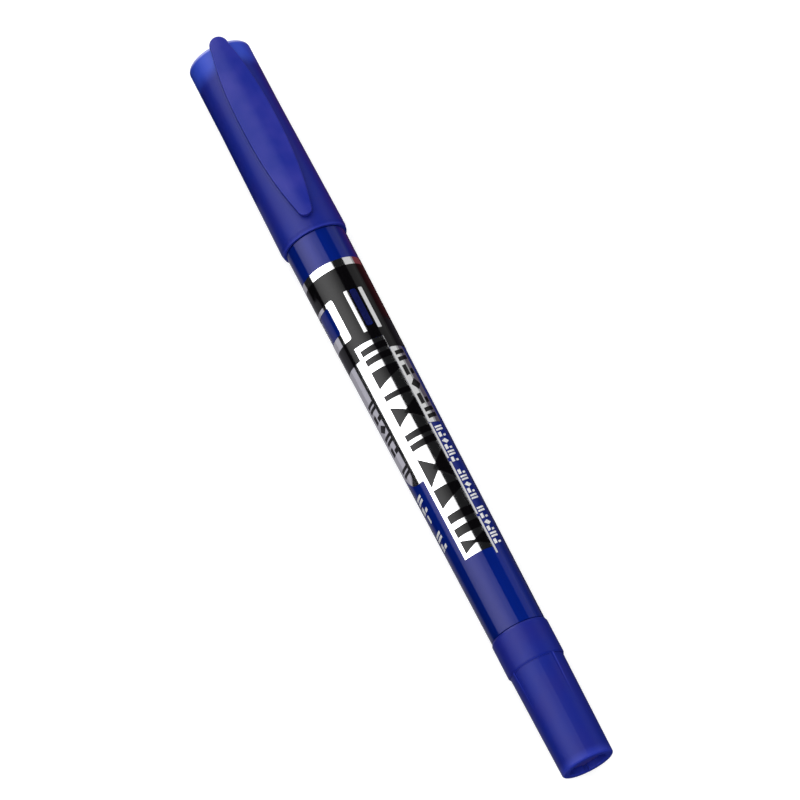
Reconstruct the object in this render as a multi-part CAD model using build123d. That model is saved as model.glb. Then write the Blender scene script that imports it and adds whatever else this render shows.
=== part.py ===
from build123d import *
import math
import os

# Twin-tip calligraphy marker. A broad chisel nib sits under the long clip cap and a fine nib under the
# small cap. Units are millimetres.
#
# Every piece is drawn on the pen's own axis, which is X. Stations are distances along it, from the flat end
# of the small cap (0) towards the top of the clip cap. stand() then moves a finished piece so that the
# origin is under the middle of the pen, on the surface that it lies on, with the clip on top (+Z).

# ---- driving dimensions: stations along the pen ----
PEN_LENGTH = 140.0             # small cap's end to clip cap's top
CLIP_HEAD = 140.6              # the clip's head stands a little past the cap's top
COLLAR_BOTTOM = 18.0
SMALL_CAP_MOUTH = 24.4
CLIP_CAP_MOUTH = 100.9
CLIP_TIP = 103.3

# ---- driving dimensions: outside radii ----
SMALL_CAP_END_R = 4.46
SMALL_CAP_NECK_R = 4.69        # just below the collar
COLLAR_R = 4.93
BARREL_SMALL_R = 4.73
BARREL_BIG_R = 5.41
CLIP_CAP_MOUTH_R = 5.97
CLIP_CAP_MID_R = 5.69          # the cap is straight from here to its top
CLIP_CAP_MID = 127.0

# ---- fits ----
SLIDE_GAP = 0.05               # radial, cap on barrel
SEAL_GAP = 0.04                # radial, liner on nib section
ASSEMBLY_GAP = 0.02            # between pieces that are pressed or bonded together
SHOULDER_GAP = 0.1             # along the pen, cap mouth to barrel shoulder

# ---- clip cap ----
CAP_MOUTH_CHAMFER = (0.8, 0.17)        # along the pen, across it
CAP_TOP_ROUNDING = 0.5
CAP_TOP_WALL = 1.0
CAP_BORE_MOUTH_R = 5.05
CAP_BORE_R = 4.9
CAP_BORE_STEP = 112.4
CAP_LINER_TOP = 135.0
CAP_LINER_FOOT = 112.6
CAP_LINER_WALL = 0.42
CAP_LINER_TOP_WALL = 0.8

# ---- small cap ----
SMALL_CAP_ROUNDING = 0.4
COLLAR_CHAMFER = (0.35, 0.16)
SMALL_BORE_R = 4.05
SMALL_BORE_STEP = 13.0
SMALL_INNER_R = 3.86
END_WALL = 1.2
END_OPENING_R = 3.2
VENT_WIDTH = 0.8
VENT_DEPTH = 0.5
PANEL_CENTRE = -12.7                   # degrees clockwise from the clip, seen from the small end
PANEL_HALF_ANGLE = 47.0
PANEL_RIDGE = (8.0, 0.40, 0.16)        # length, width, height of the two ridges
SMALL_LINER_FOOT = 12.2
SMALL_LINER_END_WALL = 0.7

# ---- barrel ----
SMALL_SPIGOT_END = 13.2
BIG_SPIGOT_END = 110.0
SMALL_BARREL_BORE_R = 3.25
BIG_BARREL_BORE_R = 4.1
CHAMBER = (26.0, 99.0)                 # the wide part of the bore, which holds the ink core
CHAMBER_R = (3.85, 4.4)
RIB_COUNT = 6
RIB_THICKNESS = 0.6
RIB_INNER_R = 3.22

# ---- ink core ----
CORE = (26.5, 98.5)
CORE_R = 2.98
WRAP_R = 3.17
NIB_BITE = 5.0                         # how far each nib reaches into the core

# ---- broad nib end ----
BROAD_FLANGE = 1.4
BROAD_LAND = 115.6                     # end of the cylinder that the liner seals on
BROAD_NOSE = 126.0
BROAD_NOSE_R = 2.9
BROAD_STEM = 102.0
BROAD_NIB_TIP = 132.2
BROAD_NIB_WIDTH = 4.0
BROAD_NIB_THICKNESS = 2.2
BROAD_NIB_EDGE = 0.6
BROAD_NIB_BEVEL = 3.2
BROAD_NIB_SLANT = 1.4

# ---- fine nib end ----
FINE_FLANGE = 0.9
FINE_LAND = 9.4
FINE_LAND_R = 3.2
FINE_NOSE = 6.4
FINE_NOSE_R = 1.5
FINE_STEM = 22.0
FINE_SLEEVE = (4.9, 10.0)
FINE_SLEEVE_R = 0.85
FINE_NIB_TIP = 3.4
FINE_NIB_R = 0.5
FINE_NIB_TAPER = 0.9

# ---- pocket clip ----
CLIP_TOP = 7.44                        # where the clip's two slopes would meet, from the pen's axis
CLIP_EDGE_DROP = 0.55                  # the clip's ridge above its side edges, at the widest place
CLIP_UNDERSIDE = 6.3
CLIP_BOW_R = 480.0                     # the ridge's gentle bow, seen from the side
CLIP_HALF_WIDTH = 3.13
CLIP_WIDEST = 122.5
CLIP_ROUNDING = 0.18                   # of the clip's upper edge, all round
CLIP_RIDGE_ROUNDING = 5.0
CLIP_FOOT_START = 134.8
CLIP_HINGE = 138.6                     # the clip flexes about this station, at the end of its foot
CLIP_KNUCKLE_R = 0.4
CLIP_FOOT_HALF_WIDTH = 1.25
CLIP_FOOT_GAP = 0.04
CLIP_BEAD = 106.4                      # the bump under the clip that grips the cloth
CLIP_BEAD_R = 1.1
CLIP_BEAD_GAP = 0.1

REST_FLAT = 0.15                       # depth of the narrow flats that the lying pen rests on

AXIS_HEIGHT = CLIP_CAP_MOUTH_R - REST_FLAT     # the mouth of the clip cap is the widest place
MIDDLE = CLIP_HEAD / 2


def turned(points):
    """A solid of revolution about X, from a closed outline of (station, radius) points."""
    outline = Polyline([(station, 0, radius) for station, radius in points], close=True)
    return revolve(make_face(outline), Axis.X)


def rings(part, station, radius):
    """The round edges of a turned piece at one station and radius."""
    circles = part.edges().filter_by(GeomType.CIRCLE)
    return [edge for edge in circles
            if abs(edge.arc_center.X - station) < 0.01 and abs(edge.radius - radius) < 0.01]


def stretch(start, end, radius):
    """A plain cylinder along the pen between two stations."""
    return turned([(start, 0), (end, 0), (end, radius), (start, radius)])


def barrel_radius(station):
    """Outside radius of the tapered barrel."""
    share = (station - SMALL_CAP_MOUTH) / (CLIP_CAP_MOUTH - SMALL_CAP_MOUTH)
    return BARREL_SMALL_R + share * (BARREL_BIG_R - BARREL_SMALL_R)


def rested(part, radius):
    """Take a shallow flat off the underside of a round piece, so that the pen doesn't roll by itself."""
    under = radius - REST_FLAT
    return part - Location((MIDDLE, 0, -under - 1)) * Box(2 * PEN_LENGTH, 4, 2)


def stand(part):
    """Move a finished piece from the pen's axis to where it lies."""
    return Location((-MIDDLE, 0, AXIS_HEIGHT)) * part


def save(part, node):
    part = stand(part)
    part.label = node
    export_step(part, os.path.join("parts", node + ".step"))


# ---- barrel and what it holds ----

def barrel():
    small_shoulder = SMALL_CAP_MOUTH + SHOULDER_GAP
    big_shoulder = CLIP_CAP_MOUTH - SHOULDER_GAP
    small_spigot_r = SMALL_BORE_R - SLIDE_GAP
    big_spigot_r = CAP_BORE_MOUTH_R - SLIDE_GAP
    lead_in = 0.3
    outside = [
        (SMALL_SPIGOT_END, small_spigot_r - lead_in),
        (SMALL_SPIGOT_END + lead_in, small_spigot_r),
        (small_shoulder, small_spigot_r),
        (small_shoulder, barrel_radius(small_shoulder)),
        (big_shoulder, barrel_radius(big_shoulder)),
        (big_shoulder, big_spigot_r),
        (BIG_SPIGOT_END - lead_in, big_spigot_r),
        (BIG_SPIGOT_END, big_spigot_r - lead_in),
    ]
    bore = [
        (BIG_SPIGOT_END, BIG_BARREL_BORE_R),
        (CHAMBER[1] + 1, BIG_BARREL_BORE_R),
        (CHAMBER[1], CHAMBER_R[1]),
        (CHAMBER[0], CHAMBER_R[0]),
        (CHAMBER[0] - 1, SMALL_BARREL_BORE_R),
        (SMALL_SPIGOT_END, SMALL_BARREL_BORE_R),
    ]
    tube = turned(outside + bore)
    shoulder_edges = rings(tube, small_shoulder, barrel_radius(small_shoulder))
    shoulder_edges += rings(tube, big_shoulder, barrel_radius(big_shoulder))
    tube = fillet(shoulder_edges, 0.12)
    rib_length = CHAMBER[1] - CHAMBER[0] - 2
    rib_height = CHAMBER_R[1] + 0.1 - RIB_INNER_R
    rib = Location((sum(CHAMBER) / 2, 0, RIB_INNER_R + rib_height / 2)) * Box(
        rib_length, RIB_THICKNESS, rib_height)
    for number in range(RIB_COUNT):
        tube += Rot(X=number * 360 / RIB_COUNT) * rib
    return tube


def nib_blade(start, end, extra):
    """The broad nib's flat bar, or with some extra the slot that it goes through."""
    return Location(((start + end) / 2, 0, 0)) * Box(
        end - start, BROAD_NIB_WIDTH + 2 * extra, BROAD_NIB_THICKNESS + 2 * extra)


def ink_core():
    core = stretch(CORE[0], CORE[1], CORE_R)
    core -= stretch(CORE[0], CORE[0] + NIB_BITE + 0.1, FINE_NIB_R + ASSEMBLY_GAP)
    core -= nib_blade(CORE[1] - NIB_BITE - 0.1, CORE[1], ASSEMBLY_GAP)
    return core


def ink_core_wrap():
    inner = CORE_R + ASSEMBLY_GAP
    return turned([(CORE[0], inner), (CORE[1], inner), (CORE[1], WRAP_R), (CORE[0], WRAP_R)])


def broad_section():
    stem_r = BIG_BARREL_BORE_R - ASSEMBLY_GAP
    flange_start = BIG_SPIGOT_END + ASSEMBLY_GAP
    flange_end = flange_start + BROAD_FLANGE
    flange_r = CAP_BORE_MOUTH_R - 0.2
    land_r = CAP_BORE_R - ASSEMBLY_GAP - CAP_LINER_WALL - SEAL_GAP
    body = turned([
        (BROAD_STEM, 0), (BROAD_STEM, stem_r), (flange_start, stem_r), (flange_start, flange_r),
        (flange_end, flange_r), (flange_end, land_r), (BROAD_LAND, land_r),
        (BROAD_NOSE, BROAD_NOSE_R), (BROAD_NOSE, 0),
    ])
    body = fillet(rings(body, BROAD_NOSE, BROAD_NOSE_R), 0.3)
    body = fillet(rings(body, flange_end, flange_r), 0.3)
    body -= nib_blade(BROAD_STEM, BROAD_NOSE, 2 * ASSEMBLY_GAP)
    air_groove = Location(((flange_start + BROAD_LAND) / 2 - 4, 0, -stem_r)) * Box(
        BROAD_LAND - flange_start, 0.8, 0.8)
    return body - air_groove


def broad_nib():
    half_width = BROAD_NIB_WIDTH / 2
    half_thick = BROAD_NIB_THICKNESS / 2
    half_edge = BROAD_NIB_EDGE / 2
    start = CORE[1] - NIB_BITE
    bevel = BROAD_NIB_TIP - BROAD_NIB_BEVEL
    side = Polyline([
        (start, 0, -half_thick), (bevel, 0, -half_thick), (BROAD_NIB_TIP, 0, -half_edge),
        (BROAD_NIB_TIP, 0, half_edge), (bevel, 0, half_thick), (start, 0, half_thick),
    ], close=True)
    plan = Polyline([
        (start, -half_width, 0), (BROAD_NIB_TIP - BROAD_NIB_SLANT, -half_width, 0),
        (BROAD_NIB_TIP, half_width, 0), (start, half_width, 0),
    ], close=True)
    bar = extrude(make_face(side), BROAD_NIB_WIDTH, both=True)
    return bar & extrude(make_face(plan), BROAD_NIB_THICKNESS, both=True)


def fine_section():
    stem_r = SMALL_BARREL_BORE_R - ASSEMBLY_GAP
    flange_end = SMALL_SPIGOT_END - ASSEMBLY_GAP
    flange_start = flange_end - FINE_FLANGE
    flange_r = SMALL_INNER_R - 0.2
    body = turned([
        (FINE_NOSE, 0), (FINE_NOSE, FINE_NOSE_R), (FINE_LAND, FINE_LAND_R),
        (flange_start, FINE_LAND_R), (flange_start, flange_r), (flange_end, flange_r),
        (flange_end, stem_r), (FINE_STEM, stem_r), (FINE_STEM, 0),
    ])
    body = fillet(rings(body, FINE_NOSE, FINE_NOSE_R), 0.25)
    body -= stretch(FINE_NOSE, FINE_SLEEVE[1], FINE_SLEEVE_R + ASSEMBLY_GAP)
    return body - stretch(FINE_SLEEVE[1], FINE_STEM, FINE_NIB_R + ASSEMBLY_GAP)


def fine_nib_sleeve():
    inner = FINE_NIB_R + ASSEMBLY_GAP
    start, end = FINE_SLEEVE
    sleeve = turned([(start, inner), (start, FINE_SLEEVE_R), (end, FINE_SLEEVE_R), (end, inner)])
    return fillet(rings(sleeve, start, FINE_SLEEVE_R), 0.2)


def fine_nib():
    cone_end = FINE_NIB_TIP + FINE_NIB_TAPER
    tip_r = 0.28
    end = CORE[0] + NIB_BITE
    nib = turned([(FINE_NIB_TIP, 0), (FINE_NIB_TIP, tip_r), (cone_end, FINE_NIB_R), (end, FINE_NIB_R), (end, 0)])
    return fillet(rings(nib, FINE_NIB_TIP, tip_r), 0.2)


# ---- clip cap ----

def clip_cap_outline(extra=0.0):
    """Outside of the clip cap as a solid, or with some extra the space that the clip's foot leaves."""
    along, across = CAP_MOUTH_CHAMFER
    return turned([
        (CLIP_CAP_MOUTH, 0), (CLIP_CAP_MOUTH, CLIP_CAP_MOUTH_R - across + extra),
        (CLIP_CAP_MOUTH + along, CLIP_CAP_MOUTH_R + extra), (CLIP_CAP_MID, CLIP_CAP_MID_R + extra),
        (PEN_LENGTH, CLIP_CAP_MID_R + extra), (PEN_LENGTH, 0),
    ])


def clip_cap_shell():
    shell = clip_cap_outline()
    shell = fillet(rings(shell, PEN_LENGTH, CLIP_CAP_MID_R), CAP_TOP_ROUNDING)
    top = PEN_LENGTH - CAP_TOP_WALL
    hollow = turned([
        (CLIP_CAP_MOUTH, 0), (CLIP_CAP_MOUTH, CAP_BORE_MOUTH_R + 0.25),
        (CLIP_CAP_MOUTH + 0.5, CAP_BORE_MOUTH_R), (CAP_BORE_STEP - 0.4, CAP_BORE_MOUTH_R),
        (CAP_BORE_STEP, CAP_BORE_R), (top, CAP_BORE_R), (top, 0),
    ])
    hollow = fillet(rings(hollow, top, CAP_BORE_R), 0.6)
    return rested(shell - hollow, CLIP_CAP_MOUTH_R)


def clip_cap_liner():
    outer = CAP_BORE_R - ASSEMBLY_GAP
    inner = outer - CAP_LINER_WALL
    floor = CAP_LINER_TOP - CAP_LINER_TOP_WALL
    cup = turned([
        (CAP_LINER_FOOT, inner + 0.2), (CAP_LINER_FOOT, outer), (CAP_LINER_TOP, outer),
        (CAP_LINER_TOP, 0), (floor, 0), (floor, inner), (CAP_LINER_FOOT + 0.5, inner),
    ])
    return fillet(rings(cup, CAP_LINER_TOP, outer), 0.35)


def leaf():
    """Plan of the clip: a rounded head, a long bulge and a narrow rounded tip."""
    head = (138.6, 1.62)
    shoulder = (133.6, 2.52)
    waist = (112.0, 2.6)
    tip = (104.6, 1.28)
    edges = Curve() + ThreePointArc((head[0], -head[1]), (CLIP_HEAD, 0), head)
    edges += ThreePointArc(tip, (CLIP_TIP, 0), (tip[0], -tip[1]))
    for side in (1, -1):
        edges += Spline([(x, side * y) for x, y in
                         (head, shoulder, (CLIP_WIDEST, CLIP_HALF_WIDTH), waist, tip)])
    return make_face(edges)


def clip_roof():
    """The clip's upper side: two slopes with a soft ridge between them, bowed along the pen."""
    low = CLIP_UNDERSIDE - 1
    wide = CLIP_HALF_WIDTH + 1
    eaves = CLIP_TOP - CLIP_EDGE_DROP * wide / CLIP_HALF_WIDTH
    section = make_face(Polyline([
        (CLIP_WIDEST, -wide, low), (CLIP_WIDEST, wide, low), (CLIP_WIDEST, wide, eaves),
        (CLIP_WIDEST, 0, CLIP_TOP), (CLIP_WIDEST, -wide, eaves)], close=True))
    centre = (CLIP_WIDEST, 0, CLIP_TOP - CLIP_BOW_R)
    half_turn = 3.0
    start = Location(centre) * Rot(Y=-half_turn) * Location((-centre[0], 0, -centre[2])) * section
    roof = revolve(start, Axis(centre, (0, 1, 0)), 2 * half_turn)
    ridge = roof.edges().filter_by(GeomType.CIRCLE).sort_by(Axis.Z)[-1]
    return fillet(ridge, CLIP_RIDGE_ROUNDING)


def clip_foot():
    """The block that joins the clip to the cap; its far end is round about the flexing line."""
    bottom = CLIP_CAP_MID_R - 0.3
    top = CLIP_UNDERSIDE + 0.2
    block = Location(((CLIP_FOOT_START + CLIP_HINGE) / 2, 0, (bottom + top) / 2)) * Box(
        CLIP_HINGE - CLIP_FOOT_START, 2 * CLIP_FOOT_HALF_WIDTH, top - bottom)
    knuckle_height = CLIP_CAP_MID_R + CLIP_FOOT_GAP + CLIP_KNUCKLE_R
    knuckle = Location((CLIP_HINGE, 0, knuckle_height)) * Rot(X=90) * Cylinder(
        CLIP_KNUCKLE_R, 2 * CLIP_FOOT_HALF_WIDTH)
    return block - clip_cap_outline(CLIP_FOOT_GAP) + knuckle


def pocket_clip():
    """The leaf under its bowed roof, with its foot and the bead under its tip, and its upper edge rounded."""
    blade = Location((0, 0, CLIP_UNDERSIDE)) * extrude(leaf(), CLIP_TOP + 1 - CLIP_UNDERSIDE)
    bead_height = CLIP_CAP_MOUTH_R + CLIP_BEAD_GAP + CLIP_BEAD_R
    bead = Location((CLIP_BEAD, 0, bead_height)) * Sphere(CLIP_BEAD_R)
    bead &= Location((CLIP_BEAD, 0, CLIP_UNDERSIDE)) * Box(4, 4, 0.8)
    clip = (blade & clip_roof()) + clip_foot() + bead
    walls = [face for face in clip.faces() if abs(face.normal_at().Z) < 0.01]
    rim = [edge for wall in walls for edge in wall.edges()
           if edge.geom_type != GeomType.LINE and edge.center().Z > CLIP_UNDERSIDE + 0.3]
    return fillet(rim, CLIP_ROUNDING)


# ---- small cap ----

def small_cap_shell():
    along, across = COLLAR_CHAMFER
    body = turned([
        (0, 0), (0, SMALL_CAP_END_R), (COLLAR_BOTTOM, SMALL_CAP_NECK_R),
        (COLLAR_BOTTOM, COLLAR_R - across), (COLLAR_BOTTOM + along, COLLAR_R),
        (SMALL_CAP_MOUTH - along, COLLAR_R), (SMALL_CAP_MOUTH, COLLAR_R - across), (SMALL_CAP_MOUTH, 0),
    ])
    body = fillet(rings(body, 0, SMALL_CAP_END_R), SMALL_CAP_ROUNDING)
    for side in (1, -1):
        body += Rot(X=PANEL_CENTRE + side * PANEL_HALF_ANGLE) * panel_ridge()
    body -= turned([
        (END_WALL, 0), (END_WALL, SMALL_INNER_R), (SMALL_BORE_STEP - 0.3, SMALL_INNER_R),
        (SMALL_BORE_STEP, SMALL_BORE_R), (SMALL_CAP_MOUTH - 0.3, SMALL_BORE_R),
        (SMALL_CAP_MOUTH, SMALL_BORE_R + 0.15), (SMALL_CAP_MOUTH, 0),
    ])
    body -= stretch(-1, END_WALL, END_OPENING_R)
    body = fillet(rings(body, 0, END_OPENING_R), 0.2)
    vent = Location((END_WALL / 2, 0, -END_OPENING_R)) * Box(END_WALL, VENT_WIDTH, 2 * VENT_DEPTH)
    return rested(body - vent, COLLAR_R)


def panel_ridge():
    """A low rib that starts at the collar and dies out along the small cap."""
    length, width, height = PANEL_RIDGE
    slope = (SMALL_CAP_NECK_R - SMALL_CAP_END_R) / COLLAR_BOTTOM
    end_r = SMALL_CAP_NECK_R - slope * length
    side = Polyline([
        (COLLAR_BOTTOM + 0.2, 0, SMALL_CAP_NECK_R - 0.3), (COLLAR_BOTTOM + 0.2, 0, SMALL_CAP_NECK_R + height),
        (COLLAR_BOTTOM - length, 0, end_r - 0.02), (COLLAR_BOTTOM - length, 0, end_r - 0.3),
    ], close=True)
    return extrude(make_face(side), width / 2, both=True)


def small_cap_liner():
    outer = SMALL_INNER_R - ASSEMBLY_GAP
    inner = FINE_LAND_R + SEAL_GAP
    end = END_WALL + ASSEMBLY_GAP
    floor = end + SMALL_LINER_END_WALL
    return turned([
        (end, 0), (end, outer), (SMALL_LINER_FOOT, outer), (SMALL_LINER_FOOT, inner + 0.15),
        (SMALL_LINER_FOOT - 0.3, inner), (floor, inner), (floor, 0),
    ])


def make_all():
    os.makedirs("parts", exist_ok=True)
    for piece in (barrel, ink_core, ink_core_wrap, broad_section, broad_nib, fine_section,
                  fine_nib_sleeve, fine_nib, clip_cap_shell, clip_cap_liner, pocket_clip,
                  small_cap_shell, small_cap_liner):
        save(piece(), piece.__name__)


make_all()
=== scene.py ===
import math

import bmesh
import bpy
from mathutils import Matrix, Vector


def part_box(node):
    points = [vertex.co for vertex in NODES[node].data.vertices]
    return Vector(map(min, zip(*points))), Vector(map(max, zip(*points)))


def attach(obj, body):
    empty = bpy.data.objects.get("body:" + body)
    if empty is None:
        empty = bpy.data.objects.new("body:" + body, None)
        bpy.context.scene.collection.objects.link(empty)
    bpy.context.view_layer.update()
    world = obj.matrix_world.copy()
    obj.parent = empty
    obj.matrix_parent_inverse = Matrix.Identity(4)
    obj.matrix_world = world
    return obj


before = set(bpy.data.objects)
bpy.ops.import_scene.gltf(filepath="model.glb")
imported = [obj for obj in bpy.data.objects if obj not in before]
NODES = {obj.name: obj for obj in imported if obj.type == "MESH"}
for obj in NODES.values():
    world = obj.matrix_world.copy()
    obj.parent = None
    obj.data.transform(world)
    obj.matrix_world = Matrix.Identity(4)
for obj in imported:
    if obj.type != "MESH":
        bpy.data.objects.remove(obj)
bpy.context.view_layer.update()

# Lengths are in metres. The pen's axis is parallel to X, its clip is on top (+Z) and its small cap is at -X.
# A station is a distance in millimetres along the pen from the small cap's end. An angle round the pen is in
# degrees from the clip, positive towards -Y.
MM = 0.001
END_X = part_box("small_cap_shell")[0].x
CAP_TOP_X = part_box("clip_cap_shell")[1].x
AXIS_Z = (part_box("barrel")[0].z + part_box("barrel")[1].z) / 2


def at(station):
    """The X of a station."""
    return END_X + station * MM


def on_pen(station, angle, radius):
    """The point at a station, an angle round the pen and a radius from its axis."""
    turn = math.radians(angle)
    return Vector((at(station), -radius * math.sin(turn), AXIS_Z + radius * math.cos(turn)))


def outer_radius(node, low_x, high_x):
    """How far a node reaches from the pen's axis between two places along it."""
    places = [v.co for v in NODES[node].data.vertices if low_x <= v.co.x <= high_x]
    return max(math.hypot(p.y, p.z - AXIS_Z) for p in places)


SMALL_CAP_MOUTH_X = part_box("small_cap_shell")[1].x
CLIP_CAP_MOUTH_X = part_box("clip_cap_shell")[0].x
BARREL_SMALL_R = outer_radius("barrel", SMALL_CAP_MOUTH_X, SMALL_CAP_MOUTH_X + 1 * MM)
BARREL_BIG_R = outer_radius("barrel", CLIP_CAP_MOUTH_X - 1 * MM, CLIP_CAP_MOUTH_X)


def barrel_radius(x):
    """Outside radius of the tapered barrel."""
    share = (x - SMALL_CAP_MOUTH_X) / (CLIP_CAP_MOUTH_X - SMALL_CAP_MOUTH_X)
    return BARREL_SMALL_R + share * (BARREL_BIG_R - BARREL_SMALL_R)


# The two low ridges on the small cap, by angle and station, along which a highlight is painted.
RIDGE_CENTRE = -12.7
RIDGE_HALF_ANGLE = 47.0
RIDGE_TOP = 18.0
RIDGE_END = 10.0


# ---- materials ----

class Shader:
    """A node material, with short calls for the nodes that it is made of."""

    def __init__(self, name):
        self.material = bpy.data.materials.new(name)
        self.material.use_nodes = True
        self.tree = self.material.node_tree
        self.surface = self.tree.nodes["Principled BSDF"]
        self.place = self.node("ShaderNodeTexCoord").outputs["Object"]

    def node(self, kind, **settings):
        made = self.tree.nodes.new(kind)
        for name, value in settings.items():
            setattr(made, name, value)
        return made

    def link(self, source, target):
        self.tree.links.new(source, target)

    def set(self, **values):
        for name, value in values.items():
            self.surface.inputs[name.replace("_", " ")].default_value = value

    def noise(self, scale, detail=3.0, roughness=0.5, stretch=(1, 1, 1)):
        mapping = self.node("ShaderNodeMapping")
        mapping.inputs["Scale"].default_value = stretch
        self.link(self.place, mapping.inputs["Vector"])
        noise = self.node("ShaderNodeTexNoise")
        noise.inputs["Scale"].default_value = scale
        noise.inputs["Detail"].default_value = detail
        noise.inputs["Roughness"].default_value = roughness
        self.link(mapping.outputs["Vector"], noise.inputs["Vector"])
        return noise.outputs["Fac"]

    def ramp(self, source, low, high, start=0.0, end=1.0, smooth=False):
        """source, taken from low..high to start..end."""
        remap = self.node("ShaderNodeMapRange", interpolation_type="SMOOTHSTEP" if smooth else "LINEAR")
        for name, value in (("From Min", low), ("From Max", high), ("To Min", start), ("To Max", end)):
            remap.inputs[name].default_value = value
        self.link(source, remap.inputs["Value"])
        return remap.outputs["Result"]

    def along(self):
        """Distance along the pen."""
        split = self.node("ShaderNodeSeparateXYZ")
        self.link(self.place, split.inputs["Vector"])
        return split.outputs["X"]

    def math(self, operation, *values):
        """A sum on sockets or numbers."""
        made = self.node("ShaderNodeMath", operation=operation)
        for value, socket in zip(values, made.inputs):
            if isinstance(value, bpy.types.NodeSocket):
                self.link(value, socket)
            else:
                socket.default_value = value
        return made.outputs["Value"]

    def round_angle(self):
        """Angle round the pen from the clip in radians, positive towards -Y."""
        split = self.node("ShaderNodeSeparateXYZ")
        self.link(self.place, split.inputs["Vector"])
        across = self.math("MULTIPLY", split.outputs["Y"], -1.0)
        return self.math("ARCTAN2", across, self.math("SUBTRACT", split.outputs["Z"], AXIS_Z))

    def mix(self, share, first, second):
        """A colour between two, which are colours or sockets."""
        mix = self.node("ShaderNodeMix", data_type="RGBA")
        sockets = (mix.inputs["Factor"], mix.inputs["A"], mix.inputs["B"])
        for value, socket in zip((share, first, second), sockets):
            if isinstance(value, bpy.types.NodeSocket):
                self.link(value, socket)
            elif isinstance(value, tuple):
                socket.default_value = (*value, 1.0)
            else:
                socket.default_value = value
        return mix.outputs["Result"]

    def bump(self, height, strength, distance):
        bump = self.node("ShaderNodeBump")
        bump.inputs["Strength"].default_value = strength
        bump.inputs["Distance"].default_value = distance
        self.link(height, bump.inputs["Height"])
        self.link(bump.outputs["Normal"], self.surface.inputs["Normal"])

    def colour(self, source):
        self.link(source, self.surface.inputs["Base Color"])

    def roughness(self, source):
        self.link(source, self.surface.inputs["Roughness"])


# Colours are linear red, green and blue.
BARREL_BLUE = (0.0010, 0.0096, 0.136)
CAP_BLUE = (0.0055, 0.0150, 0.215)
CAP_VIOLET = (0.0095, 0.0145, 0.200)
# Painted glow of the clip cap's thin top.
CAP_PAINTED_GLOW_BLUE = (0.026, 0.060, 0.470)
# Painted highlight on the clip cap's top edge.
CAP_EDGE_PAINTED_HIGHLIGHT = (0.30, 0.33, 0.72)
# Painted highlight on the clip cap's mouth.
CAP_LIP_PAINTED_HIGHLIGHT = (0.016, 0.027, 0.29)
# Painted highlight along the small cap's ridges.
CAP_RIDGE_PAINTED_HIGHLIGHT = (0.026, 0.040, 0.40)
# Painted glow at the small cap's open end.
CAP_END_PAINTED_GLOW = (0.020, 0.034, 0.34)
CLIP_BLUE = (0.008, 0.017, 0.238)
CLIP_VIOLET = (0.024, 0.028, 0.27)
FOIL_SILVER = (0.90, 0.90, 0.91)
INK_BLACK = (0.0016, 0.0014, 0.0018)
DEEP_NAVY = (0.0040, 0.0060, 0.045)
INK_WHITE = (0.56, 0.56, 0.57)


def gloss_plastic(name, colour):
    """Polished moulding with faint flow marks along it and a few hair scratches in its shine."""
    s = Shader(name)
    s.set(IOR=1.49, Specular_IOR_Level=0.40, Specular_Tint=(0.60, 0.57, 1.0, 1.0))
    flow = s.noise(260, detail=2.0, stretch=(0.15, 1, 1))
    s.colour(s.mix(s.ramp(flow, 0.35, 0.65), colour, tuple(c * 1.25 for c in colour)))
    hairs = s.noise(1500, detail=4.0, roughness=0.7, stretch=(0.06, 1, 1))
    s.roughness(s.ramp(hairs, 0.35, 0.75, 0.05, 0.12))
    s.bump(flow, 0.12, 0.00002)
    return s.material


def satin_plastic(name, colour, second, roughness=0.33):
    """Fine spark-eroded satin moulding: a tight grain, soft clouding of the colour."""
    s = Shader(name)
    s.set(IOR=1.49, Specular_IOR_Level=0.14)
    clouds = s.noise(180, detail=2.0)
    tint = s.mix(s.ramp(clouds, 0.35, 0.65), colour, second)
    s.colour(tint)
    grain = s.noise(9000, detail=2.0, roughness=0.6)
    s.roughness(s.ramp(grain, 0.3, 0.7, roughness - 0.04, roughness + 0.06))
    s.bump(grain, 0.10, 0.00001)
    return s, tint


def satin(name, colour, second, roughness=0.33):
    """Satin moulding of one colour all over."""
    return satin_plastic(name, colour, second, roughness)[0].material


def cap_plastic():
    """The clip cap is coloured brighter at its top, a painted glow where no liner is behind its thin wall,
    with a painted highlight along its top edge and another at its mouth.
    """
    s, tint = satin_plastic("cap_satin", CAP_BLUE, CAP_VIOLET)
    liner_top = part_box("clip_cap_liner")[1].x
    wobble = s.noise(700, detail=1.0)
    place = s.math("MULTIPLY_ADD", wobble, 0.6 * MM, s.along())
    # Painted glow: the top of the cap, where no liner is behind it, is coloured brighter.
    glow_share = s.ramp(place, liner_top - 0.5 * MM, liner_top + 2.5 * MM, smooth=True)
    # Painted highlight: a pale band along the top edge.
    edge_highlight_share = s.ramp(s.along(), CAP_TOP_X - 0.75 * MM, CAP_TOP_X - 0.35 * MM, smooth=True)
    body = s.mix(edge_highlight_share, s.mix(glow_share, tint, CAP_PAINTED_GLOW_BLUE), CAP_EDGE_PAINTED_HIGHLIGHT)
    # Painted highlight: a lighter band along the mouth's edge.
    lip_highlight_share = s.ramp(s.along(), CLIP_CAP_MOUTH_X + 0.45 * MM, CLIP_CAP_MOUTH_X + 0.15 * MM, smooth=True)
    s.colour(s.mix(lip_highlight_share, body, CAP_LIP_PAINTED_HIGHLIGHT))
    return s.material


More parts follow.
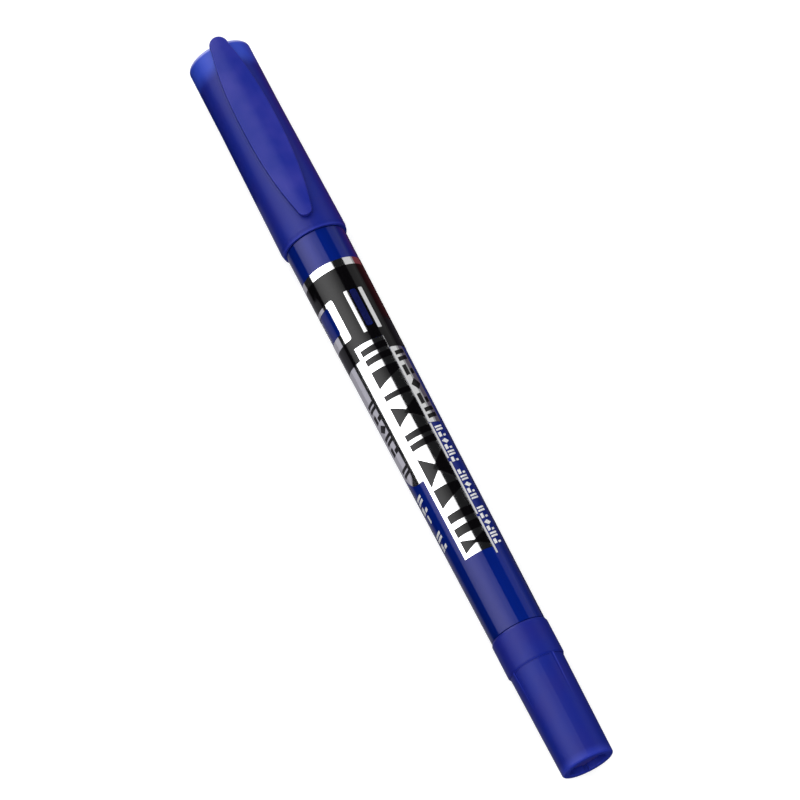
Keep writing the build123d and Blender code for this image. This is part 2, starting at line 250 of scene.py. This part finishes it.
def small_cap_plastic():
    """The small cap is coloured brighter at its open end, a painted glow, and has a painted highlight along
    its two ridges.
    """
    s, tint = satin_plastic("small_cap_satin", CAP_BLUE, CAP_VIOLET)
    # Painted glow: brighter towards the open end.
    end = s.ramp(s.along(), at(1.8), at(0.1), smooth=True)
    body = s.mix(end, tint, CAP_END_PAINTED_GLOW)
    # Painted highlight: lighter lines along the two ridges, fading away from the collar.
    off_ridge = s.math("ABSOLUTE", s.math("SUBTRACT", s.round_angle(), math.radians(RIDGE_CENTRE)))
    off_ridge = s.math("ABSOLUTE", s.math("SUBTRACT", off_ridge, math.radians(RIDGE_HALF_ANGLE)))
    across = s.ramp(off_ridge, math.radians(2.2), math.radians(0.9), smooth=True)
    fade = s.ramp(s.along(), at(RIDGE_END), at(RIDGE_TOP), 0.0, 0.75)
    below_collar = s.math("LESS_THAN", s.along(), at(RIDGE_TOP))
    share = s.math("MULTIPLY", s.math("MULTIPLY", across, fade), below_collar)
    s.colour(s.mix(share, body, CAP_RIDGE_PAINTED_HIGHLIGHT))
    return s.material


def foil(name):
    """Hot-stamped mirror foil: bright metal with a very slight grain."""
    s = Shader(name)
    s.set(Metallic=1.0)
    grain = s.noise(2600, detail=3.0, roughness=0.65, stretch=(0.4, 1, 1))
    s.colour(s.mix(s.ramp(grain, 0.3, 0.7), FOIL_SILVER, tuple(c * 0.93 for c in FOIL_SILVER)))
    s.roughness(s.ramp(grain, 0.3, 0.7, 0.06, 0.13))
    s.bump(grain, 0.06, 0.000004)
    return s.material


def lacquer(name, colour):
    """Printed ink: glossy, with the slight unevenness of a screened layer."""
    s = Shader(name)
    s.set(IOR=1.5, Specular_IOR_Level=0.25)
    screen = s.noise(4200, detail=2.0)
    s.colour(s.mix(s.ramp(screen, 0.35, 0.65), colour, tuple(c * 1.6 for c in colour)))
    s.roughness(s.ramp(screen, 0.3, 0.7, 0.07, 0.14))
    s.bump(screen, 0.05, 0.000004)
    return s.material


def felt(name, colour, second):
    """Bundled fibre soaked with ink."""
    s = Shader(name)
    s.set(Specular_IOR_Level=0.3)
    fibres = s.noise(5200, detail=4.0, roughness=0.7, stretch=(0.05, 1, 1))
    s.colour(s.mix(s.ramp(fibres, 0.3, 0.7), colour, second))
    s.roughness(s.ramp(fibres, 0.3, 0.7, 0.75, 0.95))
    s.bump(fibres, 0.5, 0.00003)
    return s.material


def metal(name):
    """Turned steel with fine rings."""
    s = Shader(name)
    s.set(Metallic=1.0)
    rings = s.noise(9000, detail=2.0, stretch=(1, 0.02, 0.02))
    s.colour(s.mix(s.ramp(rings, 0.3, 0.7), (0.62, 0.62, 0.64), (0.50, 0.50, 0.52)))
    s.roughness(s.ramp(rings, 0.3, 0.7, 0.18, 0.32))
    s.bump(rings, 0.15, 0.00001)
    return s.material


def paint(node, material):
    for slot in NODES[node].material_slots:
        slot.material = material


def paint_all():
    paint("barrel", gloss_plastic("barrel_gloss", BARREL_BLUE))
    paint("clip_cap_shell", cap_plastic())
    paint("pocket_clip", satin("clip_satin", CLIP_BLUE, CLIP_VIOLET))
    paint("small_cap_shell", small_cap_plastic())
    liner = satin("liner_satin", (0.030, 0.028, 0.22), (0.040, 0.034, 0.25))
    paint("clip_cap_liner", liner)
    paint("small_cap_liner", liner)
    section = satin("section_satin", (0.004, 0.012, 0.16), (0.006, 0.014, 0.18), roughness=0.28)
    paint("broad_section", section)
    paint("fine_section", section)
    nib = felt("nib_felt", (0.010, 0.012, 0.080), (0.020, 0.022, 0.120))
    paint("broad_nib", nib)
    paint("fine_nib", nib)
    paint("ink_core", felt("core_felt", (0.02, 0.02, 0.16), (0.04, 0.04, 0.22)))
    paint("ink_core_wrap", satin("core_film", (0.55, 0.57, 0.62), (0.48, 0.50, 0.56), roughness=0.3))
    paint("fine_nib_sleeve", metal("sleeve_steel"))


# ---- the printed label: thin films that follow the barrel ----

FILM_THICKNESS = 0.020 * MM
FILM_LIFT = 0.012 * MM
FILM_STEP = 3.0                 # degrees between the film's folds


def rounded(low_station, high_station, low_angle, high_angle, corner=0.0, steps=5):
    """Outline of a rectangle on the barrel; corner is its corners' radius in millimetres."""
    wide = math.degrees(corner * MM / barrel_radius(at((low_station + high_station) / 2)))
    outline = []
    for sx, sy, start in ((1, 1, 0), (-1, 1, 90), (-1, -1, 180), (1, -1, 270)):
        station = high_station - corner if sx > 0 else low_station + corner
        angle = high_angle - wide if sy > 0 else low_angle + wide
        turns = [start + 90 * i / steps for i in range(steps + 1)] if corner else [start]
        for turn in turns:
            t = math.radians(turn)
            if corner:
                outline.append((station + corner * math.cos(t), angle + wide * math.sin(t)))
            else:
                outline.append((station, angle))
    return outline


def slanted(low_station, high_station, low_angle, high_angle, lean):
    """Outline of a leaning bar; its far side is moved along the pen by lean."""
    return [(low_station, low_angle), (high_station, low_angle),
            (high_station + lean, high_angle), (low_station + lean, high_angle)]


def add_outline(mesh, outline):
    corners = [mesh.verts.new((station, angle, 0)) for station, angle in outline]
    for first, second in zip(corners, corners[1:] + corners[:1]):
        mesh.edges.new((first, second))


def film(name, outlines, material, layer=0, holes=()):
    """Closed thin films with these outlines of (station, angle) points, wrapped on the barrel."""
    mesh = bmesh.new()
    for outline in outlines:
        part = bmesh.new()
        add_outline(part, outline)
        for hole in holes:
            add_outline(part, hole)
        bmesh.ops.triangle_fill(part, use_beauty=True, edges=part.edges[:])
        angles = [angle for station, angle in outline]
        fold = math.ceil(min(angles) / FILM_STEP) * FILM_STEP
        while fold < max(angles):
            bmesh.ops.bisect_plane(part, geom=part.verts[:] + part.edges[:] + part.faces[:], dist=1e-5,
                                   plane_co=(0, fold, 0), plane_no=(0, 1, 0))
            fold += FILM_STEP
        made = bpy.data.meshes.new("film_part")
        part.to_mesh(made)
        part.free()
        mesh.from_mesh(made)
        bpy.data.meshes.remove(made)
    lift = FILM_LIFT + layer * (FILM_THICKNESS + 0.004 * MM)
    top = bmesh.ops.extrude_face_region(mesh, geom=mesh.faces[:])["geom"]
    raised = {v for v in top if isinstance(v, bmesh.types.BMVert)}
    for v in mesh.verts:
        station, angle = v.co.x, v.co.y
        height = lift + (FILM_THICKNESS if v in raised else 0)
        v.co = on_pen(station, angle, barrel_radius(at(station)) + height)
    bmesh.ops.recalc_face_normals(mesh, faces=mesh.faces[:])
    data = bpy.data.meshes.new(name)
    mesh.to_mesh(data)
    mesh.free()
    data.shade_smooth()
    data.set_sharp_from_angle(angle=math.radians(35))
    data.materials.append(material)
    piece = bpy.data.objects.new(name, data)
    bpy.context.scene.collection.objects.link(piece)
    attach(piece, "barrel")
    return piece


LABEL_TOP = 94.4                # stations of the label's main lines
RING_EDGE = 93.0
BAND_EDGE = 76.5
FIELD_TOP = 78.8
FIELD_END = 37.9
LEFT_FIELD_END = 53.1
FIELD_LEFT = -36.6              # angles of the label's main lines
FIELD_RIGHT = 24.0
STRIP_RIGHT = 56.0
STRIP_END = 61.6
LEFT_FIELD_EDGE = -94.0
BEND_START = -50.0              # angle where the left field's end starts to bend
BEND_LENGTH = 7.0
INK_GAP = 0.03                  # millimetres between films that meet

# The row of large marks: stations where each begins and ends, and its shape.
LARGE_MARKS = [
    (78.0, 74.8, "stripes"), (73.6, 70.3, "wedge"), (68.9, 67.9, "bar"), (66.7, 62.8, "darts"),
    (61.4, 58.1, "stripes"), (56.7, 51.1, "darts"), (50.6, 47.1, "wedge"), (45.9, 41.6, "stripes"),
    (41.0, 38.6, "darts"),
]
MARK_LEFT = -29.0
MARK_RIGHT = 23.4


def band_films(silver, black):
    """Black band near the clip cap, with windows that show the barrel and foil bars beside them."""
    left_window = rounded(82.5, 87.7, -97, -46.2, 0.35)
    slot_window = rounded(81.3, 88.4, 4.8, 17.6, 0.35)
    band = [(RING_EDGE, -180), (RING_EDGE, 180), (BAND_EDGE, 180), (BAND_EDGE, FIELD_RIGHT),
            (FIELD_TOP, FIELD_RIGHT), (FIELD_TOP, FIELD_LEFT), (BAND_EDGE, FIELD_LEFT), (BAND_EDGE, -180)]
    film("label_band", [band], black, holes=[left_window, slot_window])
    slot_fill = rounded(81.4, 88.3, 5.0, 17.4, 0.35)
    film("label_slot_window", [slot_fill], lacquer("label_navy", DEEP_NAVY))
    window_frame = rounded(80.6, 88.4, -102, -31.0, 0.4)
    film("label_window_frame", [window_frame], silver, layer=1, holes=[left_window])
    bars = [rounded(80.4, 88.5, -5.8, 2.6, 0.15), rounded(80.4, 88.4, 22.4, 30.6, 0.15)]
    film("label_bars", bars, silver, layer=1)


def field_outline():
    """Foil field: a long strip down the middle and a shorter one on its left with a rounded end."""
    top = FIELD_TOP - INK_GAP
    left_top = BAND_EDGE - INK_GAP
    bend = []
    for turn in range(0, 91, 10):
        t = math.radians(turn)
        bend.append((LEFT_FIELD_END + BEND_LENGTH * (1 - math.cos(t)),
                     BEND_START + (LEFT_FIELD_EDGE - BEND_START) * math.sin(t)))
    return [(top, FIELD_LEFT), (top, FIELD_RIGHT), (FIELD_END, FIELD_RIGHT), (FIELD_END, FIELD_LEFT),
            (LEFT_FIELD_END, FIELD_LEFT), *bend, (left_top, LEFT_FIELD_EDGE), (left_top, FIELD_LEFT)]


def large_mark(first, last, shape):
    """Outlines of one large abstract mark."""
    length = first - last
    middle = (MARK_LEFT + MARK_RIGHT) / 2
    if shape == "bar":
        return [slanted(last, first, MARK_LEFT, MARK_RIGHT, 0.0)]
    if shape == "wedge":
        return [[(last, MARK_LEFT), (first, MARK_LEFT), (first, MARK_RIGHT),
                 (last + 0.62 * length, MARK_RIGHT)]]
    if shape == "darts":
        return [[(last, MARK_LEFT), (first, MARK_LEFT), ((first + last) / 2, middle + 7)],
                [(first, MARK_RIGHT), (last, MARK_RIGHT), ((first + last) / 2, middle - 7)]]
    wide = 0.36 * length
    return [slanted(last, last + wide, MARK_LEFT, MARK_RIGHT, 0.2),
            slanted(first - wide - 0.2, first - 0.2, MARK_LEFT, MARK_RIGHT, 0.2)]


def small_mark(kind, station, size, low_angle, high_angle, lean):
    """Outlines of one small abstract mark: dashes, a lozenge, a pair of blocks or a short bar."""
    middle = (low_angle + high_angle) / 2
    half = size / 2
    if kind == 0:
        return [slanted(station - half, station - 0.30 * half, low_angle, high_angle, lean),
                slanted(station + 0.15 * half, station + 0.85 * half, low_angle, high_angle, lean)]
    if kind == 1:
        return [[(station - half, middle), (station, high_angle),
                 (station + half, middle), (station, low_angle)]]
    if kind == 2:
        return [slanted(station - half, station + 0.8 * half, low_angle, middle - 2, lean / 2),
                slanted(station - half + lean / 2, station + 0.1 * half, middle + 2, high_angle, lean / 2)]
    return [slanted(station - half, station + half, middle - 2.5, middle + 2.5, 0)]


def small_marks(first, last, low_angle, high_angle, pitch, lean, kinds):
    """A row of small marks from one station to another, one for each kind in turn; None is a space."""
    outlines = []
    for i in range(int((first - last) / pitch)):
        kind = kinds[i % len(kinds)]
        if kind is not None:
            outlines += small_mark(kind, first - (i + 0.5) * pitch, 0.78 * pitch, low_angle, high_angle, lean)
    return outlines


def label():
    silver = foil("label_silver")
    black = lacquer("label_black", INK_BLACK)
    white = lacquer("label_print", INK_WHITE)
    film("label_ring", [rounded(RING_EDGE, LABEL_TOP, -180, 180)], silver)
    band_films(silver, black)
    film("label_field", [field_outline()], silver)
    strip = rounded(STRIP_END, BAND_EDGE - INK_GAP, FIELD_RIGHT + 0.6, STRIP_RIGHT, 0.3)
    film("label_strip", [strip], silver)
    runs = ((54.7, 61.5), (44.0, 54.0), (36.7, 43.5))
    line = [rounded(low, high, FIELD_RIGHT + 0.7, 28.9) for low, high in runs]
    film("label_line", line, silver)
    for i, (first, last, shape) in enumerate(LARGE_MARKS):
        film(f"label_mark_{i}", large_mark(first, last, shape), black, layer=1)
    left = small_marks(70.0, 55.2, -79, -55, 2.1, 0.2, (0, 2, 1, 0, 2, None, 0))
    film("label_left_print", left, black, layer=1)
    right = small_marks(76.0, 62.0, 30, 53, 2.8, 0.4, (0, 2, 1, 2, 0))
    film("label_right_print", right, black, layer=1)
    left = small_marks(51.8, 40.0, -81, -60, 1.75, 0.3, (0, 2, 3, None, 0, 2, 1))
    film("label_left_foot", left, white)
    right = small_marks(60.9, 37.4, 32, 51, 1.2, 0.3, (0, 2, 1, 2, 0, 2, None, 2, 0, 1, 2, 0, None))
    film("label_right_foot", right, white)


paint_all()
label()


# ---- floor, light and camera ----

VIEW_TILT = 20.9                # degrees that the view leans towards the small cap's end
VIEW_ROLL = 9.4                 # degrees round the pen from the clip to the viewer
FOCAL_PIXELS = 3300.0
PICTURE_PIXELS = 800
VIEW_DISTANCE = 0.5424
PEN_LEAN = 27.65                # degrees that the pen leans from upright in the picture
AIM_STATION = 69.0
AIM_SIDE = 0.4 * MM

FLOOR_HALF_WIDTH = 3.0
DOME_RADIUS = 2.9

KEY_LEFT = -76.5                # angles round the pen from the viewer
KEY_RIGHT = 19.0
KEY_STRIPS = 14
KEY_DISTANCE = 0.5
KEY_LENGTH = 1.6
KEY_PEAK = 3.9                  # radiance, where 1 is white
KEY_EDGE = 0.23                 # share of the peak that its sides keep
KEY_MIDDLE = 0.45               # where across it the peak is
KEY_FALL = 2.78                 # radians of the swell from one side to the other
KEY_SHARPNESS = 1.3

PANEL_DISTANCE = 0.6
# Panels: name, angle, lean, width, length, radiance. The first ones show in the shine, the washes don't.
SHINE_PANELS = [
    ("fill", 79.5, VIEW_TILT, 0.332, 1.4, 0.66),
    ("fill_edge", 102, VIEW_TILT, 0.11, 1.4, 0.32),
]
WASH_PANELS = [
    ("key_wash", -15, VIEW_TILT, 0.75, 1.6, 1.75),
    ("shade_wash", 50, VIEW_TILT, 0.8, 1.4, 0.70),
    ("end_wash", 0, -60, 0.5, 0.5, 2.3),
]
# Cards beside the pen: name, two stations, two places across the pen in millimetres, glow.
CARDS = [
    ("card_left_near", -20, 112, 5.0, 14.5, (0.30, 0.29, 0.33)),
    ("card_left_far", 52.5, 90, 14.6, 46.0, (0.44, 0.43, 0.49)),
    ("card_right_pale", -30, 82, -100.0, -11.0, (0.080, 0.065, 0.090)),
    ("card_right_red", 82.1, 170, -100.0, -11.0, (0.150, 0.020, 0.030)),
]


def round_pen(angle, lean=0.0):
    """A direction away from the pen: angle degrees round it from the viewer, leaning towards the clip cap."""
    turn = math.radians(angle - VIEW_ROLL)
    tilt = math.radians(lean)
    return Vector((math.sin(tilt), -math.cos(tilt) * math.sin(turn), math.cos(tilt) * math.cos(turn)))


def put(made, place, x_axis, y_axis, z_axis):
    """Add an object to the scene at a place, with its own axes along these."""
    bpy.context.scene.collection.objects.link(made)
    made.matrix_world = Matrix.Translation(place) @ Matrix((x_axis, y_axis, z_axis)).transposed().to_4x4()


def camera():
    back = round_pen(0, -VIEW_TILT)
    side = round_pen(90)
    up = back.cross(side)
    turn = math.radians(PEN_LEAN)
    picture_up = up * math.cos(turn) + side * math.sin(turn)
    picture_side = side * math.cos(turn) - up * math.sin(turn)
    aim = Vector((at(AIM_STATION), 0, AXIS_Z)) + side * AIM_SIDE
    data = bpy.data.cameras.new("camera")
    data.lens = FOCAL_PIXELS / PICTURE_PIXELS * data.sensor_width
    made = bpy.data.objects.new("camera", data)
    put(made, aim + back * VIEW_DISTANCE, picture_side, picture_up, back)
    bpy.context.scene.camera = made


def floor():
    data = bpy.data.meshes.new("floor")
    mesh = bmesh.new()
    bmesh.ops.create_grid(mesh, x_segments=2, y_segments=2, size=FLOOR_HALF_WIDTH)
    mesh.to_mesh(data)
    mesh.free()
    s = Shader("floor_paper")
    fibre = s.noise(900, detail=3.0)
    s.colour(s.mix(s.ramp(fibre, 0.3, 0.7), (0.62, 0.62, 0.62), (0.60, 0.60, 0.60)))
    s.set(Roughness=0.9, Specular_IOR_Level=0.1, Emission_Color=(1, 1, 1, 1))
    far = s.node("ShaderNodeVectorMath", operation="LENGTH")
    s.link(s.place, far.inputs[0])
    s.link(s.ramp(far.outputs["Value"], 0.25, 1.0, 0.58, 0.95), s.surface.inputs["Emission Strength"])
    data.materials.append(s.material)
    made = bpy.data.objects.new("floor", data)
    made.visible_glossy = False
    made.visible_diffuse = False
    made.location.z = -0.02 * MM
    bpy.context.scene.collection.objects.link(made)


def backdrop():
    """A white dome that only the camera sees."""
    data = bpy.data.meshes.new("backdrop")
    mesh = bmesh.new()
    bmesh.ops.create_uvsphere(mesh, u_segments=48, v_segments=24, radius=DOME_RADIUS)
    mesh.to_mesh(data)
    mesh.free()
    s = Shader("backdrop_paper")
    s.colour(s.mix(s.noise(5), (0.02, 0.02, 0.02), (0.03, 0.03, 0.03)))
    s.set(Roughness=1.0, Specular_IOR_Level=0.0, Emission_Color=(1, 1, 1, 1), Emission_Strength=0.97)
    data.materials.append(s.material)
    made = bpy.data.objects.new("backdrop", data)
    for ray in ("diffuse", "glossy", "transmission", "volume_scatter", "shadow"):
        setattr(made, f"visible_{ray}", False)
    bpy.context.scene.collection.objects.link(made)


def soft_panel(name, angle, lean, distance, wide, long, radiance):
    """A rectangular light facing the pen, long along it."""
    data = bpy.data.lights.new(name, "AREA")
    data.shape = "RECTANGLE"
    data.size, data.size_y = long, wide
    data.energy = radiance * math.pi * wide * long
    made = bpy.data.objects.new(name, data)
    out = round_pen(angle, lean)
    along = Vector((1, 0, 0))
    along = (along - out * along.dot(out)).normalized()
    put(made, Vector((0, 0, AXIS_Z)) + out * distance, along, out.cross(along), out)
    made.visible_camera = False
    return made


def bounce_card(name, low_x, high_x, low_y, high_y, glow):
    """A card seen only in reflections; its ends slant so that their images go straight round the pen."""
    data = bpy.data.meshes.new(name)
    lean = math.tan(math.radians(VIEW_TILT))
    outline = ((low_x, low_y), (high_x, low_y), (high_x, high_y), (low_x, high_y))
    corners = [(x + lean * abs(y), y, -1 * MM) for x, y in outline]
    data.from_pydata(corners, [], [(0, 1, 2, 3)])
    s = Shader(name)
    s.colour(s.mix(s.noise(20), (0.01, 0.01, 0.01), (0.02, 0.02, 0.02)))
    s.set(Roughness=1.0, Specular_IOR_Level=0.0, Emission_Color=(*glow, 1), Emission_Strength=1.0)
    data.materials.append(s.material)
    made = bpy.data.objects.new(name, data)
    made.visible_camera = False
    made.visible_shadow = False
    bpy.context.scene.collection.objects.link(made)


def key_light():
    """A wide soft box, brightest left of its middle, of strips side by side round the pen; only for shine."""
    step = (KEY_RIGHT - KEY_LEFT) / KEY_STRIPS
    wide = 2 * KEY_DISTANCE * math.cos(math.radians(VIEW_TILT)) * math.tan(math.radians(step / 2))
    for i in range(KEY_STRIPS):
        share = (i + 0.5) / KEY_STRIPS
        swell = math.cos(KEY_FALL * (share - KEY_MIDDLE)) ** KEY_SHARPNESS
        radiance = KEY_PEAK * (KEY_EDGE + (1 - KEY_EDGE) * swell)
        angle = KEY_LEFT + (i + 0.5) * step
        strip = soft_panel(f"key_{i}", angle, VIEW_TILT, KEY_DISTANCE, wide, KEY_LENGTH, radiance)
        strip.visible_diffuse = False


def lights():
    key_light()
    for name, angle, lean, wide, long, radiance in SHINE_PANELS:
        soft_panel(name, angle, lean, PANEL_DISTANCE, wide, long, radiance)
    for name, angle, lean, wide, long, radiance in WASH_PANELS:
        soft_panel(name, angle, lean, PANEL_DISTANCE, wide, long, radiance).visible_glossy = False
    for name, low, high, low_y, high_y, glow in CARDS:
        bounce_card(name, at(low), at(high), low_y * MM, high_y * MM, glow)
    world = bpy.data.worlds.new("studio")
    world.use_nodes = True
    world.node_tree.nodes["Background"].inputs["Color"].default_value = (0.9, 0.92, 1.0, 1)
    world.node_tree.nodes["Background"].inputs["Strength"].default_value = 0.012
    bpy.context.scene.world = world
    bpy.context.scene.view_settings.view_transform = "Standard"


camera()
floor()
backdrop()
lights()
